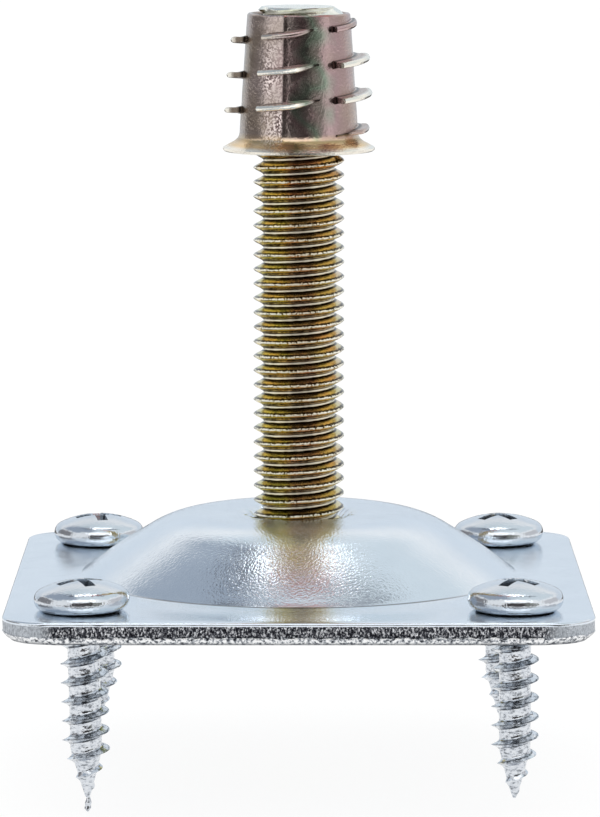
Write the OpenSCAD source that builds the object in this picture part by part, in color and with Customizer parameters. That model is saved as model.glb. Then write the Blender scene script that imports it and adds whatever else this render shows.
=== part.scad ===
// Furniture leg mounting plate. A square steel plate is pressed up into a dome round a captive threaded
// stud. A flanged insert nut is run onto the stud, and a wood screw stands in each corner hole.
// Units are millimetres. The origin is the centre of the plate's mounting face, and +Z runs along the stud.

/* [Plate] */
// Side of the square plate
plate_width = 49; // [41:0.5:70]
// Thickness of the sheet
sheet = 1.9; // [1.2:0.1:2.6]
// Radius of the plate's corners, seen from above
corner_radius = 4; // [1:0.5:6]
// Distance of the screw holes' centres from the plate's edges
hole_inset = 6.5; // [5.5:0.1:7.5]

/* [Dome] */
// Rise of the dome above the plate's top face
dome_rise = 5.5; // [4.5:0.1:8]
// Radius of the flat on top of the dome
dome_flat_radius = 8.5; // [7:0.1:9]
// Gap between the dome's foot and the screw heads, along the plate's diagonals
dome_gap = 2.05; // [0.5:0.05:2.5]
// Radius of the shoulder under the flat top, as a share of the distance from the flat to the foot
shoulder_share = 0.78; // [0.4:0.01:0.85]
// Radius of the hollow bend at the dome's foot
foot_bend = 0.8; // [0.5:0.1:2]
// Height of the crisp step where the bend meets the plate
foot_crease = 0.02; // [0.01:0.01:0.1]

/* [Stud] */
// Outer diameter of the stud's thread
stud_diameter = 7.8; // [6:0.1:8.4]
// Length of the stud under its head
stud_length = 45.5; // [30:0.5:60]
// Chamfer on the stud's free end
stud_chamfer = 0.7; // [0.2:0.1:1.2]
// Width of the hexagonal head across its flats
head_across_flats = 13; // [11:0.5:14]
// How far the circle that the head's corners are turned to stands inside its flats
head_turning = 0.3; // [0.1:0.05:0.6]
// Diameter of the round bearing face under the head
bearing_diameter = 11.6; // [10:0.1:12.5]
// Height of the round bearing face
bearing_height = 0.5; // [0.2:0.1:0.8]
// Gap between the head and the plane that the plate is screwed to
head_setback = 0.3; // [0.1:0.1:1]
// Distance from one turn of the stud's thread to the next
stud_pitch = 1.25; // [1.15:0.05:1.75]
// Depth of the stud's thread
stud_depth = 0.65; // [0.3:0.05:0.75]
// Width of the flat on the thread's crests
stud_crest = 0.2; // [0.1:0.05:0.25]
// Gap all round the stud in the plate's centre hole
stud_clearance = 0.12; // [0.05:0.01:0.3]
// Width of the countersunk ring round the centre hole
countersink = 0.7; // [0.2:0.1:1]

/* [Insert nut] */
// Length of the insert from its flange to its rim
insert_length = 11.75; // [9:0.25:20]
// Length of stud that shows past the insert's rim
stud_overrun = 0.55; // [0:0.05:3]
// Thickness of the insert's wall at its rim
rim_wall = 0.4; // [0.35:0.05:1]
// How far the body widens on each side from its rim to its flange
body_spread = 0.7; // [0.5:0.05:1.5]
// How far the flange stands out past the body
flange_width = 1.4; // [1:0.1:4]
// Thickness of the flange at its edge
flange_edge = 0.35; // [0.2:0.05:1]
// Height over which the flange slopes up to the body
flange_slope = 0.8; // [0.4:0.1:2]
// Gap between the stud and the insert's bore
insert_clearance = 0.1; // [0.05:0.01:0.2]
// How far the flats of the hexagonal key socket stand outside the bore
socket_margin = 0.05; // [0.02:0.01:0.1]
// Depth of the key socket
socket_depth = 2.5; // [1:0.5:4]

/* [Insert thread] */
// Rise of the insert's wood thread in one turn
blade_pitch = 3; // [2.5:0.1:4]
// Number of thread blades in one turn
blades_per_turn = 4; // [2:1:6]
// Number of thread blades on the insert
blade_count = 13; // [1:1:13]
// Angle that one blade spans, in degrees
blade_arc = 69; // [20:1:80]
// Height of the blades above the body
blade_height = 1.45; // [0.8:0.05:2]
// Thickness of a blade at its crest
blade_crest = 0.4; // [0.2:0.05:0.6]
// Thickness of a blade where it leaves the body
blade_root = 0.85; // [0.6:0.05:1.2]
// Height of the lowest blade's middle above the flange's lower face
first_blade_height = 1.85; // [1.7:0.05:2]
// Direction of the lowest blade's middle, in degrees round from +X
first_blade_turn = -13; // [-180:1:180]
// Length of the lead-in taper of the crests below the rim
lead_in = 2.2; // [0.5:0.1:4]

/* [Wood screws] */
// Outer diameter of the screw's thread
screw_diameter = 4; // [3.5:0.1:4.2]
// Length of the screw under its head
screw_length = 15.9; // [10:0.5:30]
// Length of the screw's tapered point
point_length = 4.2; // [2:0.1:6]
// Diameter of the blunt end of the point
point_diameter = 0.3; // [0.1:0.1:0.6]
// Length of the sliver that thread rolling left on one screw's point
sliver_length = 1.3; // [0.2:0.1:2]
// Diameter of the sliver
sliver_diameter = 0.45; // [0.4:0.05:0.6]
// Diameter of the plain neck under the head
neck_diameter = 3.2; // [2.8:0.1:3.4]
// Gap between the plate's mounting face and the first crest of the screw's thread
thread_gap = 0.25; // [0.1:0.05:0.4]
// Diameter of the screw's core between the turns of its thread
core_diameter = 2.64; // [2.2:0.02:3]
// Distance from one turn of the screw's thread to the next
screw_pitch = 1.61; // [1.4:0.05:2]
// Thickness of a turn at its crest
screw_crest = 0.14; // [0.1:0.02:0.3]
// Thickness of a turn where it leaves the core
screw_root = 0.9; // [0.6:0.05:1.1]
// Gap all round the thread when the screw passes through its hole
screw_clearance = 0.3; // [0.1:0.05:0.4]
// Diameter of the pan head
pan_diameter = 8; // [6.5:0.1:8.6]
// Height of the pan head
pan_height = 2.6; // [2.2:0.1:3.2]
// Radius of the pan head's rounded rim
pan_edge = 0.95; // [0.4:0.05:1]
// Length of the cross recess from tip to tip
recess_length = 4.4; // [3:0.1:5]
// Width of the cross recess's arms
recess_width = 0.95; // [0.6:0.05:1.2]
// Depth of the cross recess
recess_depth = 1.6; // [0.8:0.1:2]
// Diameter of the bottom of the cross recess
recess_floor = 1.6; // [1:0.1:2]

/* [Hidden] */
$fn = 64;

// How far a cut runs past the face that it opens
cut_past = 1;
// Steps in each bend of the dome's profile
bend_steps = 8;

plate_top = sheet;
hole_spacing = plate_width - 2 * hole_inset;

// The dome's section has a shoulder arc under its flat top and a bend at its foot.
// Its slope is the straight line that touches both arcs.
dome_top = sheet + dome_rise;
dome_ceiling = dome_rise;
dome_foot_radius = hole_spacing / sqrt(2) - pan_diameter / 2 - dome_gap;
dome_run = dome_foot_radius - dome_flat_radius;
dome_shoulder = shoulder_share * dome_run;
arc_drop = dome_shoulder + foot_bend + foot_crease - dome_rise;
arc_distance = sqrt(pow(dome_run, 2) + pow(arc_drop, 2));
dome_slope = asin((dome_shoulder + foot_bend) / arc_distance) - atan(arc_drop / dome_run);

stud_end = dome_ceiling + stud_length;
stud_hole_radius = stud_diameter / 2 + stud_clearance;
head_height = dome_ceiling - head_setback;
// The thread's flanks stand at 30 degrees to the stud's cross-section
groove_mouth = stud_pitch - stud_crest;
groove_floor = max(groove_mouth - 2 * stud_depth * tan(30), stud_crest / 4);
groove_count = floor((stud_end - stud_chamfer - dome_top) / stud_pitch);

insert_base = stud_end - stud_overrun - insert_length;
insert_bore_radius = stud_diameter / 2 + insert_clearance;
rim_diameter = 2 * (insert_bore_radius + rim_wall);
body_diameter = rim_diameter + 2 * body_spread;
flange_diameter = body_diameter + 2 * flange_width;
socket_across_flats = 2 * (insert_bore_radius + socket_margin);
flange_height = flange_edge + flange_slope;
taper_length = insert_length - flange_height;

screw_hole_radius = screw_diameter / 2 + screw_clearance;
// The top turn stands just below the plate, and the last one stands clear of the point's blunt end
top_turn = -sheet - thread_gap - screw_crest / 2;
neck_length = -top_turn - (screw_root + screw_crest) / 2;
turn_count = 1 + floor((top_turn + screw_length - screw_root) / screw_pitch);
// The pan head's crown is an arc that runs into its rounded rim
rim_reach = pan_diameter / 2 - pan_edge;
crown_rise = pan_height - 2 * pan_edge;
crown_radius = (pow(rim_reach, 2) + pow(pan_height - pan_edge, 2) - pow(pan_edge, 2)) / (2 * crown_rise);
crown_reach = rim_reach * crown_radius / (crown_radius - pan_edge);

// The four corners of the screw pattern, and the way that each screw's cross recess happens to stand
screw_sides = [[-1, -1], [1, -1], [-1, 1], [1, 1]];
recess_turns = [24, 58, 12, 40];
sliver_screw = 0;

// Points on an arc, with angles in degrees measured from straight up towards the outside
function arc_points(centre, radius, from, to) =
    [for (i = [0 : bend_steps])
        let (angle = from + (to - from) * i / bend_steps)
        centre + radius * [sin(angle), cos(angle)]];

// Half of the dome's section under its upper surface, or under the surface that lies the given depth below it
module dome_section(depth, floor) {
    shoulder = dome_shoulder - depth;
    bend = foot_bend + depth;
    polygon(concat(
        [[0, floor], [0, dome_top - depth]],
        arc_points([dome_flat_radius, dome_top - dome_shoulder], shoulder, 0, dome_slope),
        arc_points([dome_foot_radius, plate_top + foot_crease + foot_bend], bend, 180 + dome_slope, 180),
        [[dome_foot_radius, floor]]
    ));
}

// A square with rounded corners, centred on the origin
module rounded_square(width, radius) {
    inner = width - 2 * radius;
    square([width, inner], center = true);
    square([inner, width], center = true);
    for (x = [-1, 1], y = [-1, 1])
        translate([x * inner / 2, y * inner / 2])
            circle(radius);
}

// Places its children on the screw pattern, at the plate's top face
module at_screws() {
    for (i = [0 : len(screw_sides) - 1])
        translate([screw_sides[i].x * hole_spacing / 2, screw_sides[i].y * hole_spacing / 2, plate_top]) {
            $screw = i;
            children();
        }
}

// The pressed plate: flat rim, dome of even thickness, centre hole and four screw holes
module base_plate() {
    color("lightsteelblue")
    difference() {
        union() {
            linear_extrude(sheet)
                rounded_square(plate_width, corner_radius);
            rotate_extrude()
                dome_section(0, 0);
        }
        rotate_extrude()
            dome_section(sheet, -cut_past);
        translate([0, 0, dome_ceiling - cut_past])
            cylinder(r = stud_hole_radius, h = sheet + 2 * cut_past);
        translate([0, 0, dome_top - countersink])
            cylinder(r1 = stud_hole_radius, r2 = stud_hole_radius + countersink + cut_past,
                h = countersink + cut_past);
        at_screws()
            translate([0, 0, -sheet - cut_past])
                cylinder(r = screw_hole_radius, h = sheet + 2 * cut_past);
    }
}

// The groove between two turns of the stud's thread
function groove_points(middle) =
    let (crest = stud_diameter / 2, root = stud_diameter / 2 - stud_depth)
    [
        [crest, middle - groove_mouth / 2],
        [root, middle - groove_floor / 2],
        [root, middle + groove_floor / 2],
        [crest, middle + groove_mouth / 2]
    ];

// Half of the stud's section above the hexagon: bearing face, plain shank inside the plate, then the thread.
// Each turn of the thread is a ring.
module stud_section() {
    polygon(concat(
        [[0, dome_ceiling - bearing_height], [bearing_diameter / 2, dome_ceiling - bearing_height]],
        [[bearing_diameter / 2, dome_ceiling], [stud_diameter / 2, dome_ceiling]],
        [for (i = [0 : groove_count - 1]) each groove_points(dome_top + (i + 0.5) * stud_pitch)],
        [[stud_diameter / 2, stud_end - stud_chamfer], [stud_diameter / 2 - stud_chamfer, stud_end]],
        [[0, stud_end]]
    ));
}

// The bolt whose head sits in the dome's hollow and whose shank stands out as the stud
module stud_bolt() {
    corner_diameter = head_across_flats / cos(30);
    turned_diameter = head_across_flats - 2 * head_turning;
    color("goldenrod")
    union() {
        // Hexagonal head, with its outer corners turned off at 30 degrees
        intersection() {
            translate([0, 0, head_setback])
                cylinder(d = corner_diameter, h = head_height - bearing_height, $fn = 6);
            translate([0, 0, head_setback])
                cylinder(d1 = turned_diameter, d2 = turned_diameter + 2 * head_height / tan(30),
                    h = head_height);
        }
        rotate_extrude()
            stud_section();
    }
}

// Section of the tapered body and its flange, widened by the given amount above the flange
module body_section(extra) {
    polygon([
        [0, 0],
        [flange_diameter / 2, 0],
        [flange_diameter / 2, flange_edge],
        [body_diameter / 2 + extra, flange_height],
        [rim_diameter / 2 + extra, insert_length],
        [0, insert_length]
    ]);
}

// The space that the thread's crests stay in: parallel to the body, then drawn in towards the rim
module crest_section() {
    lead_start = insert_length - lead_in;
    crest_at_lead = body_diameter / 2 + blade_height
        - (body_diameter - rim_diameter) / 2 * (lead_start - flange_height) / taper_length;
    polygon([
        [0, flange_edge],
        [body_diameter / 2 + blade_height, flange_edge],
        [crest_at_lead, lead_start],
        [rim_diameter / 2, insert_length],
        [0, insert_length]
    ]);
}

// One blade of the interrupted thread: a ring sector that leans by the thread's lead angle
module blade(index) {
    root_radius = (insert_bore_radius + rim_diameter / 2) / 2;
    tip_radius = body_diameter / 2 + blade_height + cut_past;
    lead_angle = atan(blade_pitch / (PI * (body_diameter + blade_height)));
    crest_share = (body_diameter / 2 + blade_height - root_radius) / (tip_radius - root_radius);
    tip_thickness = blade_root + (blade_crest - blade_root) / crest_share;
    translate([0, 0, first_blade_height + index * blade_pitch / blades_per_turn])
        rotate([0, 0, first_blade_turn + index * 360 / blades_per_turn])
            rotate([lead_angle, 0, 0])
                rotate([0, 0, -blade_arc / 2])
                    rotate_extrude(angle = blade_arc)
                        polygon([
                            [root_radius, -blade_root / 2],
                            [tip_radius, -tip_thickness / 2],
                            [tip_radius, tip_thickness / 2],
                            [root_radius, blade_root / 2]
                        ]);
}

// The insert nut: flanged tapered body with an interrupted wood thread, a bore and a key socket
module threaded_insert() {
    color("rosybrown")
    translate([0, 0, insert_base])
    difference() {
        union() {
            rotate_extrude()
                body_section(0);
            intersection() {
                rotate_extrude()
                    crest_section();
                union() {
                    for (i = [0 : blade_count - 1])
                        blade(i);
                }
            }
        }
        translate([0, 0, -cut_past])
            cylinder(r = insert_bore_radius, h = insert_length + 2 * cut_past);
        translate([0, 0, -cut_past])
            cylinder(d = socket_across_flats / cos(30), h = socket_depth + cut_past, $fn = 6);
    }
}

// Half of the pan head's section: a crowned top inside a rounded rim
module pan_section() {
    intersection() {
        translate([0, pan_height - crown_radius])
            circle(crown_radius);
        translate([0, pan_edge])
            square([crown_reach, pan_height]);
    }
    square([rim_reach, pan_edge]);
    translate([rim_reach, pan_edge])
        circle(pan_edge);
}

// The cross recess, with arms that draw in towards its floor
module cross_recess() {
    intersection() {
        union() {
            for (turn = [0, 90])
                rotate([0, 0, turn])
                    translate([-recess_length, -recess_width / 2, pan_height - recess_depth])
                        cube([2 * recess_length, recess_width, recess_depth + cut_past]);
        }
        translate([0, 0, pan_height - recess_depth])
            cylinder(d1 = recess_floor, d2 = recess_length, h = recess_depth + cut_past);
    }
}

// Radius at a height on the screw, for a diameter that is full above the point and draws in along it
function taper_radius(diameter, height) =
    let (share = min((height + screw_length) / point_length, 1))
    (point_diameter + (diameter - point_diameter) * share) / 2;

// One turn of the screw's thread, from its upper side to its lower side
function turn_points(height) =
    let (upper = height + screw_root / 2, lower = height - screw_root / 2)
    [
        [taper_radius(core_diameter, upper), upper],
        [taper_radius(screw_diameter, height), height + screw_crest / 2],
        [taper_radius(screw_diameter, height), height - screw_crest / 2],
        [taper_radius(core_diameter, lower), lower]
    ];

// Half of the screw's section under its head: neck, threaded core and point. Each turn is a ring.
module shank_section() {
    polygon(concat(
        [[0, 0], [neck_diameter / 2, 0], [neck_diameter / 2, -neck_length]],
        [for (i = [0 : turn_count - 1]) each turn_points(top_turn - i * screw_pitch)],
        [[point_diameter / 2, -screw_length], [0, -screw_length]]
    ));
}

// The four wood screws, hanging by their heads in the plate's corner holes
module wood_screws() {
    color("silver")
    at_screws() {
        difference() {
            rotate_extrude()
                pan_section();
            rotate([0, 0, recess_turns[$screw]])
                cross_recess();
        }
        rotate_extrude()
            shank_section();
        if ($screw == sliver_screw)
            translate([0, 0, -screw_length - sliver_length])
                cylinder(d = sliver_diameter, h = sliver_length + point_diameter);
    }
}

base_plate();
stud_bolt();
threaded_insert();
wood_screws();
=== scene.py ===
"""Furniture leg mounting plate: a domed zinc plate, its threaded stud, an insert nut and four screws.

Lengths are in millimetres and become metres when a mesh is made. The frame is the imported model's own:
the origin is the centre of the mounting face, +Z runs along the stud, and the photograph looks along +Y.
"""

import math

import bmesh
import bpy
from mathutils import Matrix, Vector, noise


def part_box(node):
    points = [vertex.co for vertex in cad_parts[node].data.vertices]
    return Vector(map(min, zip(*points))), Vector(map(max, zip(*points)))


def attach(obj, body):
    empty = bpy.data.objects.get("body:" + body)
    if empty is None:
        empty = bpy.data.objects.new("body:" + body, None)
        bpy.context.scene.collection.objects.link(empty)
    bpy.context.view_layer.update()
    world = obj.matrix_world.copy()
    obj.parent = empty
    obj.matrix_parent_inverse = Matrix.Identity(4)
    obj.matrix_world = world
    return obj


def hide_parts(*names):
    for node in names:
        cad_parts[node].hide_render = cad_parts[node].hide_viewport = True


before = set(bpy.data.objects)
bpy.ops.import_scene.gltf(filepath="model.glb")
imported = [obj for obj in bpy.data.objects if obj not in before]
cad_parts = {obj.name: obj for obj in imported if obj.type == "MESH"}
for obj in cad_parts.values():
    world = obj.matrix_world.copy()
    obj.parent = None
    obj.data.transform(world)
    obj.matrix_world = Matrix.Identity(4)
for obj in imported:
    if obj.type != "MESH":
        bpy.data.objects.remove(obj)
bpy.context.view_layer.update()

MM = 0.001
PER_METRE = (1000.0, 1000.0, 1000.0)
WHITE = (1.0, 1.0, 1.0, 1.0)
# Signs of a square's corners, in order round it
SQUARE = [(-1, -1), (1, -1), (1, 1), (-1, 1)]
# Edges over this angle, in degrees, are shaded sharp
SHARP_ANGLE = 38.0
# Points closer than this, in metres, are one
MERGE_DISTANCE = 2e-8

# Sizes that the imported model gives
PLATE_BOX = [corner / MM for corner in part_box("base_plate")]
STUD_BOX = [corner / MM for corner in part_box("stud_bolt")]
INSERT_BOX = [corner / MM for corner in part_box("threaded_insert")]
SCREW_BOX = [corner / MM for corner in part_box("wood_screws")]
PLATE_WIDTH = PLATE_BOX[1].x - PLATE_BOX[0].x
DOME_TOP = PLATE_BOX[1].z
STUD_END = STUD_BOX[1].z
HEAD_BOTTOM = STUD_BOX[0].z
HEAD_FLATS = STUD_BOX[1].y - STUD_BOX[0].y
INSERT_BASE = INSERT_BOX[0].z
INSERT_LENGTH = INSERT_BOX[1].z - INSERT_BOX[0].z
PAN_TOP = SCREW_BOX[1].z

# Plate
SHEET = 1.9
CORNER_RADIUS = 4.0
# Half the length over which a side's rough cut turns into a corner's smoother one
CORNER_BLEND = 0.6
DOME_CEILING = DOME_TOP - SHEET
DOME_FLAT_RADIUS = 8.5
SHOULDER_RADIUS = 8.5
# How far the dome's slope bulges out from a straight line
SLOPE_BULGE = 0.12
STUD_HOLE_RADIUS = 4.02
COUNTERSINK = 0.7
HOLE_RIM = STUD_HOLE_RADIUS + COUNTERSINK
# How far the sheet is wrinkled round the stud's hole
WRINKLE_REACH = 0.8
SCREW_HOLE_RADIUS = 2.3
# The flange rises a little towards the crease at the dome's foot
CREASE_RADIUS = 18.85
CREASE_BEND = 0.3
FLARE_RISE = 0.35
FLARE_START = CREASE_RADIUS - 1.2
FLARE_END = 22.0
# The hollow's own foot, under the sheet
HOLLOW_FOOT_RADIUS = 19.4
HOLLOW_BEND = 2.7
TOP_EDGE_ROUND = 0.2
TEAR_HEIGHT = 0.72
TEAR_DEPTH = 0.11
LIP_INSET = 0.42
# Places of the plate's materials on its mesh
PLATED = 0
TORN = 1
BURRED = 2

# Stud
STUD_RADIUS = 3.9
STUD_ROOT_RADIUS = 3.03
STUD_PITCH = 1.25
STUD_CHAMFER = 0.7
BEARING_RADIUS = 5.8
BEARING_HEIGHT = 0.5
# How far inside its flats the head's end face is turned
HEAD_TURNING = 0.3
# Height of a thread crest on the stud's left side, which sets where the helix stands
STUD_CREST_HEIGHT = 37.25

# Insert nut
BORE_RADIUS = 4.0
RIM_RADIUS = 4.4
BODY_RADIUS = 5.1
FLANGE_RADIUS = (INSERT_BOX[1].x - INSERT_BOX[0].x) / 2
FLANGE_EDGE = 0.35
FLANGE_HEIGHT = 1.15
SOCKET_FLATS = 8.1
SOCKET_DEPTH = 2.5
BLADE_PITCH = 3.0
BLADES_PER_TURN = 4
BLADE_COUNT = 13
BLADE_HEIGHT = 1.45
BLADE_CREST = 0.5
BLADE_NECK = 0.42
BLADE_ROOT = 0.85
# How far a blade's foot stands inside the body's wall, and how far a pointed end lifts
BLADE_SUNK = 0.25
BLADE_LIFT = 0.22
FIRST_BLADE_HEIGHT = 1.85
FIRST_BLADE_TURN = -13.0
LEAD_IN = 2.6
# Start and end of a blade either side of its middle, in degrees, on the sides and on the front and back
SIDE_BLADE = (-38.0, 25.0)
FRONT_BLADE = (-22.0, 34.0)
# Direction of the mould's parting line, its height, and half its width in degrees
SEAM_TURN = -106.0
SEAM_HEIGHT = 0.07
SEAM_SPREAD = 2.5

# Wood screws
SCREW_RADIUS = 2.0
CORE_RADIUS = 1.32
NECK_RADIUS = 1.6
PAN_RADIUS = 4.0
PAN_EDGE = 0.95
PAN_RISE = PAN_TOP - SHEET
PAN_FLAT = PAN_RADIUS - PAN_EDGE
CROWN_RISE = PAN_RISE - PAN_EDGE
# Radius of the pan head's crown, which touches the rim's rounding
PAN_CROWN = (PAN_FLAT**2 + CROWN_RISE**2 - PAN_EDGE**2) / (2.0 * (PAN_RISE - 2.0 * PAN_EDGE))
SCREW_PITCH = 1.61
POINT_LENGTH = 4.2
POINT_RADIUS = 0.12
NECK_END = -0.45
RECESS_LENGTH = 4.4
RECESS_WIDTH = 0.95
RECESS_DEPTH = 1.6
RECESS_FLOOR = 1.6
SLIVER_LENGTH = 1.3
SLIVER_RADIUS = 0.3
SCREW_TIP = SCREW_BOX[0].z + SLIVER_LENGTH
HOLE_OFFSET = SCREW_BOX[1].x - PAN_RADIUS
SCREW_PLACES = [(x * HOLE_OFFSET, y * HOLE_OFFSET) for y in (-1, 1) for x in (-1, 1)]

# Camera, fitted to the plate's corners, the stud's crests and the screw heads in the photograph
CAMERA_PLACE = (0.1, -436.05, 73.85)
# How far the camera looks down from level, in radians
CAMERA_PITCH = 0.131
FOCAL_PIXELS = 5102.1
IMAGE_HEIGHT = 817
SENSOR = 36.0

# Studio
FLOOR_GAP = 0.05
FLOOR_HEIGHT = SCREW_BOX[0].z - FLOOR_GAP
FLOOR_REACH = 3000.0
# The share of the floor that glows for camera and mirror rays, and how brightly it glows
FLOOR_SHARE = 0.8
FLOOR_GLOW = 1.06


def polar(radius, angle, height):
    """A point at an angle in degrees round from +X."""
    turn = math.radians(angle)
    return Vector((radius * math.cos(turn), radius * math.sin(turn), height))


def turns(steps):
    """Even steps once round, in degrees."""
    return [360.0 * i / steps for i in range(steps)]


def clamped(share):
    """A share held between 0 and 1."""
    return min(max(share, 0.0), 1.0)


def smooth_step(value, start, end):
    """0 before start, 1 after end, and an even curve between them."""
    share = clamped((value - start) / (end - start))
    return share * share * (3.0 - 2.0 * share)


def hexagon(flats, angle):
    """Distance from the axis to a hexagon's side, at an angle in degrees."""
    return flats / 2 / math.cos(math.radians((angle % 60.0) - 30.0))


def whole_pitch(phases):
    """A thread's places over one pitch, from those over its first half."""
    return phases + [1.0 - phase for phase in reversed(phases[1:])]


def srgb(red, green, blue):
    """A screen colour from 0 to 255 as the linear colour that the shaders take."""
    linear = []
    for channel in (red, green, blue):
        share = channel / 255.0
        linear.append(share / 12.92 if share <= 0.04045 else ((share + 0.055) / 1.055) ** 2.4)
    return (*linear, 1.0)


# Mesh helpers


def add_skin(mesh, rings, loop=False):
    """Adds quads between neighbouring closed rings of points."""
    rows = [[mesh.verts.new(point * MM) for point in ring] for ring in rings]
    following = rows[1:] + rows[:1] if loop else rows[1:]
    for lower, upper in zip(rows, following):
        for i in range(len(lower)):
            j = (i + 1) % len(lower)
            mesh.faces.new((lower[i], lower[j], upper[j], upper[i]))
    return rows


def revolve(profile, steps, start=0.0):
    """Rings of points for a profile of (radius, height) pairs turned about the Z axis."""
    rings = []
    for radius, height in profile:
        rings.append([polar(radius, start + angle, height) for angle in turns(steps)])
    return rings


def add_helix_skin(mesh, pitch, low, high, crest_height, steps, phases, radius_at):
    """Adds a skin whose rows climb a right-hand helix, cut off square at both ends.

    phases are the rows' places in one pitch, with a crest at 0. radius_at gives the radius at a height,
    phase and angle. crest_height is the height of a crest on the left side, where the helix starts.
    """
    first_turn = math.floor((low - crest_height) / pitch) - 2
    last_turn = math.ceil((high - crest_height) / pitch) + 1
    rows = []
    for turn in range(first_turn, last_turn + 1):
        for phase in phases:
            row = []
            for j in range(steps + 1):
                climb = crest_height + (turn + phase + j / steps) * pitch
                height = min(max(climb, low), high)
                angle = 180.0 + 360.0 * (j % steps) / steps
                # A row cut off by an end takes the thread's form there, so the end is one clean ring
                inside = low < climb < high
                here = phase if inside else ((height - crest_height) / pitch - (j % steps) / steps) % 1.0
                row.append(mesh.verts.new(polar(radius_at(height, here, angle), angle, height) * MM))
            rows.append(row)
    for lower, upper in zip(rows, rows[1:]):
        for j in range(steps):
            mesh.faces.new((lower[j], lower[j + 1], upper[j + 1], upper[j]))


def close_mesh(mesh):
    """Joins points that coincide, drops faces with no area and fills what is still open."""
    bmesh.ops.remove_doubles(mesh, verts=mesh.verts, dist=MERGE_DISTANCE)
    bmesh.ops.dissolve_degenerate(mesh, dist=MERGE_DISTANCE, edges=mesh.edges)
    open_edges = [edge for edge in mesh.edges if edge.is_boundary]
    if open_edges:
        bmesh.ops.edgeloop_fill(mesh, edges=open_edges)
    bmesh.ops.recalc_face_normals(mesh, faces=mesh.faces)


def sharpen(piece, sharp_angle=SHARP_ANGLE):
    """Shades a piece smooth, except at edges over the given angle."""
    piece.data.shade_smooth()
    piece.data.set_sharp_from_angle(angle=math.radians(sharp_angle))


def to_object(mesh, name, materials, sharp_angle=SHARP_ANGLE):
    """Makes an object from a bmesh, smooth except at edges over the given angle."""
    data = bpy.data.meshes.new(name)
    mesh.to_mesh(data)
    mesh.free()
    for material in materials:
        data.materials.append(material)
    piece = bpy.data.objects.new(name, data)
    sharpen(piece, sharp_angle)
    bpy.context.scene.collection.objects.link(piece)
    return piece


def cut(piece, cutters, operation="DIFFERENCE"):
    """Cuts other pieces out of a piece, or joins them to it, and removes them."""
    for cutter in cutters:
        modifier = piece.modifiers.new("cut", "BOOLEAN")
        modifier.operation = operation
        modifier.solver = "EXACT"
        modifier.object = cutter
    bpy.context.view_layer.update()
    graph = bpy.context.evaluated_depsgraph_get()
    result = bpy.data.meshes.new_from_object(piece.evaluated_get(graph))
    piece.modifiers.clear()
    old = piece.data
    piece.data = result
    bpy.data.meshes.remove(old)
    for cutter in cutters:
        bpy.data.objects.remove(cutter)


def carry(piece, body, node):
    """Rides a piece on its body in place of its node, which it hides."""
    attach(piece, body)
    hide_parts(node)


# Shader helpers


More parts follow.
